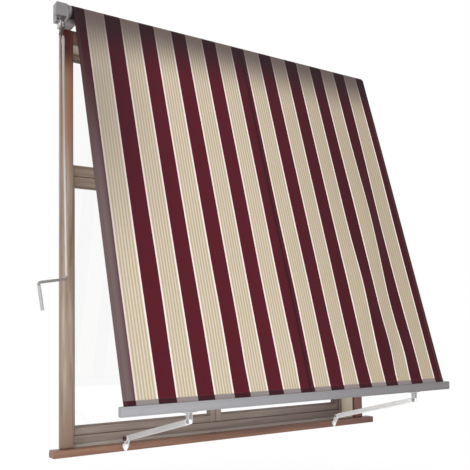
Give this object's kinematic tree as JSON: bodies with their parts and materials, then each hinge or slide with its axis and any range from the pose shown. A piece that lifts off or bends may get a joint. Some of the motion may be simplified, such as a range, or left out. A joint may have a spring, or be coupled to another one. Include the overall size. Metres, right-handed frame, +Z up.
{
  "type": "window awning",
  "caption": "Drop awning of striped cloth over a timber window: roller with gear and hanging crank above, two folding arms on the sill carrying the front bar",
  "frame": {"origin": "on the back face of the sill board, in the middle of the strip that bears on the wall", "axes": "+Z up; +Y points into the building, out of the wall plane; +X to the right as seen from outdoors"},
  "size_m": [2.3856, 0.9677, 2.393],
  "materials": {
    "surround_timber": "satin stained timber",
    "lining_timber": "satin painted timber",
    "window_timber": "satin stained timber",
    "pane_glass": "clear",
    "awning_cloth": "woven acrylic, broad stripes",
    "bar_aluminium": "satin anodised",
    "arm_aluminium": "bright anodised",
    "cast_bracket": "cast, satin painted",
    "gear_casting": "cast, matte",
    "plated_steel": "zinc plated",
    "dark_steel": "dark oxide",
    "painted_rod": "satin grey paint",
    "grip_plastic": "matte",
    "knob_plastic": "moulded, satin",
    "cap_plastic": "matte",
    "gear_brass": "machined"
  },
  "bodies": {
    "root": {"sill_board": "surround_timber", "jamb_left": "surround_timber", "jamb_right": "surround_timber", "head_board": "surround_timber", "lining_left": "lining_timber", "lining_right": "lining_timber", "lining_top": "lining_timber", "lining_bottom": "lining_timber", "frame_stile_left": "window_timber", "frame_stile_right": "window_timber", "frame_head": "window_timber", "frame_bottom_rail": "window_timber", "transom": "window_timber", "fanlight_pane": "pane_glass", "left_frame_hinges": "plated_steel", "right_frame_hinges": "plated_steel", "gear_bracket": "cast_bracket", "idle_bracket": "cast_bracket", "gear_housing": "gear_casting", "left_base_bracket": "cast_bracket", "right_base_bracket": "cast_bracket"},
    "left_leaf": {"left_leaf_hinge_stile": "window_timber", "left_leaf_meeting_stile": "window_timber", "left_leaf_bottom_rail": "window_timber", "left_leaf_top_rail": "window_timber", "left_leaf_pane": "pane_glass", "left_leaf_hinges": "plated_steel"},
    "right_leaf": {"right_leaf_hinge_stile": "window_timber", "right_leaf_meeting_stile": "window_timber", "right_leaf_bottom_rail": "window_timber", "right_leaf_top_rail": "window_timber", "right_leaf_pane": "pane_glass", "right_leaf_hinges": "plated_steel"},
    "roller": {"roller_tube": "plated_steel", "wound_cloth": "awning_cloth", "drive_plug": "plated_steel", "idle_plug": "plated_steel", "worm_wheel": "gear_brass"},
    "worm": {"winding_eye": "dark_steel"},
    "crank": {"crank_hook": "dark_steel", "crank_rod": "painted_rod", "crank_arm": "painted_rod"},
    "grip": {"crank_grip": "grip_plastic"},
    "left_arm": {"left_arm_foot": "cast_bracket", "left_arm_tube": "arm_aluminium", "left_arm_tip": "cast_bracket"},
    "left_knob": {"left_knob": "knob_plastic"},
    "right_arm": {"right_arm_foot": "cast_bracket", "right_arm_tube": "arm_aluminium", "right_arm_tip": "cast_bracket"},
    "right_knob": {"right_knob": "knob_plastic"},
    "front_bar": {"front_bar": "bar_aluminium", "bar_cap_left": "cap_plastic", "bar_cap_right": "cap_plastic", "hem_rod": "grip_plastic", "bar_bracket_left": "cast_bracket", "bar_bracket_right": "cast_bracket", "tip_bolt_left": "plated_steel", "tip_bolt_right": "plated_steel"},
    "cloth": {"cloth_panel": "awning_cloth"}
  },
  "joints": [
    {"name": "left_arm_fold", "type": "hinge", "parent": "root", "child": "left_arm", "pos_m": [-0.733, -0.104, 0.061], "axis": [-1, 0, 0], "range_deg": [0, 48]},
    {"name": "right_arm_fold", "type": "hinge", "parent": "root", "child": "right_arm", "pos_m": [0.776, -0.104, 0.061], "axis": [-1, 0, 0], "range_deg": [0, 48]},
    {"name": "bar_level", "type": "hinge", "parent": "left_arm", "child": "front_bar", "pos_m": [-0.733, -0.77924, 0.21689], "axis": [-1, 0, 0], "range_deg": [-48, 0]},
    {"name": "roller_spin", "type": "hinge", "parent": "root", "child": "roller", "pos_m": [-0.014, -0.132, 2.346], "axis": [-1, 0, 0], "range_deg": [0, 864]},
    {"name": "winding_spin", "type": "hinge", "parent": "root", "child": "worm", "pos_m": [-1.1167, -0.1601, 2.2354], "axis": [-0.0147, 0, 0.9999], "range_deg": [0, 4320]},
    {"name": "cloth_swing", "type": "hinge", "parent": "root", "child": "cloth", "pos_m": [-0.014, -0.132, 2.346], "axis": [1, 0, 0], "range_deg": [0, 7.1], "deforming": ["cloth_panel"]},
    {"name": "crank_swing", "type": "hinge", "parent": "worm", "child": "crank", "pos_m": [-1.1167, -0.1601, 2.2354], "axis": [-0.9999, 0, -0.0147], "range_deg": [0, 45]},
    {"name": "grip_spin", "type": "hinge", "parent": "crank", "child": "grip", "pos_m": [-1.24376, -0.1601, 0.89228], "axis": [0.145, 0, -0.9894], "continuous": true},
    {"name": "left_knob_turn", "type": "hinge", "parent": "root", "child": "left_knob", "pos_m": [-0.733, -0.104, 0.061], "axis": [1, 0, 0], "continuous": true},
    {"name": "right_knob_turn", "type": "hinge", "parent": "root", "child": "right_knob", "pos_m": [0.776, -0.104, 0.061], "axis": [1, 0, 0], "continuous": true},
    {"name": "left_leaf_open", "type": "hinge", "parent": "root", "child": "left_leaf", "pos_m": [-0.9822, 0.168, 0.6], "axis": [0, 0, 1], "range_deg": [0, 95]},
    {"name": "right_leaf_open", "type": "hinge", "parent": "root", "child": "right_leaf", "pos_m": [0.9822, 0.168, 0.6], "axis": [0, 0, -1], "range_deg": [0, 95]}
  ],
  "couplings": [
    {"joint": "right_arm_fold", "follows": "left_arm_fold", "ratio": 1},
    {"joint": "bar_level", "follows": "left_arm_fold", "ratio": -1},
    {"joint": "roller_spin", "follows": "left_arm_fold", "ratio": 18},
    {"joint": "winding_spin", "follows": "left_arm_fold", "ratio": 90},
    {"joint": "cloth_swing", "follows": "left_arm_fold", "ratio": 0.1446}
  ]
}
